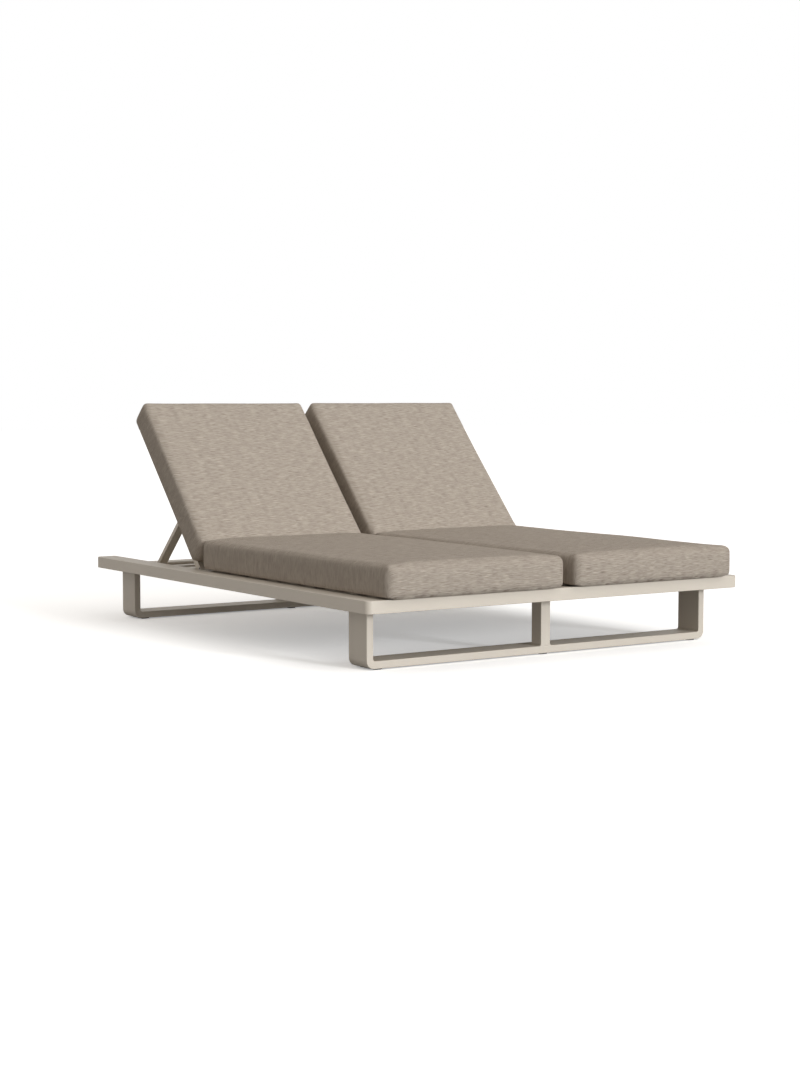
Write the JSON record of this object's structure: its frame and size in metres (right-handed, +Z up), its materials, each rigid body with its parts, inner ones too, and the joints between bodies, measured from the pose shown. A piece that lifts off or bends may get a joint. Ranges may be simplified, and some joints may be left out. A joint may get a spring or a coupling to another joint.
{
  "type": "double chaise lounger",
  "caption": "Double outdoor chaise: a slatted deck on sled bases, with side-by-side boxed cushions and backrests that recline separately on folding props.",
  "frame": {"origin": "on the floor, under the middle of the whole part's length and width", "axes": "+Z up; +Y from the foot end to the head end; +X to the right for a person who stands at the foot end"},
  "size_m": [1.565, 2.035, 0.8458],
  "materials": {
    "frame_coat": "matte",
    "cushion_fabric": "matte",
    "glide_plastic": "matte",
    "block_nylon": "matte",
    "plain_steel": "satin"
  },
  "bodies": {
    "frame": {"bay_slats_left": "frame_coat", "bay_slats_right": "frame_coat", "beam_end": "frame_coat", "centre_beam": "frame_coat", "foot_base_bar": "frame_coat", "foot_base_middle_upright": "frame_coat", "foot_base_upright_left": "frame_coat", "foot_base_upright_right": "frame_coat", "foot_corner_left": "frame_coat", "foot_corner_right": "frame_coat", "foot_rail": "frame_coat", "glide_screws": "plain_steel", "glides": "glide_plastic", "head_base_bar": "frame_coat", "head_base_middle_upright": "frame_coat", "head_base_upright_left": "frame_coat", "head_base_upright_right": "frame_coat", "head_rail": "frame_coat", "hinge_pins_left": "plain_steel", "hinge_pins_right": "plain_steel", "rack_screws_left": "plain_steel", "rack_screws_right": "plain_steel", "rack_strips_left": "frame_coat", "rack_strips_right": "frame_coat", "rail_end_left": "frame_coat", "rail_end_right": "frame_coat", "seat_cushion_left": "cushion_fabric", "seat_cushion_right": "cushion_fabric", "seat_slats_left": "frame_coat", "seat_slats_right": "frame_coat", "side_rail_left": "frame_coat", "side_rail_right": "frame_coat"},
    "backrest_left": {"back_bottom_tube_left": "frame_coat", "back_cushion_left": "cushion_fabric", "back_side_tube_inner_left": "frame_coat", "back_side_tube_outer_left": "frame_coat", "back_slats_left": "frame_coat", "back_top_tube_left": "frame_coat", "hinge_blocks_left": "block_nylon", "prop_pivot_pins_left": "plain_steel"},
    "backrest_right": {"back_bottom_tube_right": "frame_coat", "back_cushion_right": "cushion_fabric", "back_side_tube_inner_right": "frame_coat", "back_side_tube_outer_right": "frame_coat", "back_slats_right": "frame_coat", "back_top_tube_right": "frame_coat", "hinge_blocks_right": "block_nylon", "prop_pivot_pins_right": "plain_steel"},
    "prop_left": {"prop_arm_inner_left": "frame_coat", "prop_arm_outer_left": "frame_coat", "prop_cross_bar_left": "frame_coat", "prop_foot_bar_left": "frame_coat"},
    "prop_right": {"prop_arm_inner_right": "frame_coat", "prop_arm_outer_right": "frame_coat", "prop_cross_bar_right": "frame_coat", "prop_foot_bar_right": "frame_coat"}
  },
  "joints": [
    {"name": "backrest_left_hinge", "type": "hinge", "parent": "frame", "child": "backrest_left", "pos_m": [-0.36475, 0.2988, 0.2215], "axis": [1, 0, 0], "range_deg": [-47.5, 0]},
    {"name": "backrest_right_hinge", "type": "hinge", "parent": "frame", "child": "backrest_right", "pos_m": [0.36475, 0.2988, 0.2215], "axis": [1, 0, 0], "range_deg": [-47.5, 0]},
    {"name": "prop_left_pivot", "type": "hinge", "parent": "backrest_left", "child": "prop_left", "pos_m": [-0.36475, 0.49538, 0.43159], "axis": [1, 0, 0], "range_deg": [0, 91.22]},
    {"name": "prop_right_pivot", "type": "hinge", "parent": "backrest_right", "child": "prop_right", "pos_m": [0.36475, 0.49538, 0.43159], "axis": [1, 0, 0], "range_deg": [0, 91.22]}
  ],
  "couplings": [
    {"joint": "prop_left_pivot", "follows": "backrest_left_hinge", "ratio": -1.9204},
    {"joint": "prop_right_pivot", "follows": "backrest_right_hinge", "ratio": -1.9204}
  ]
}
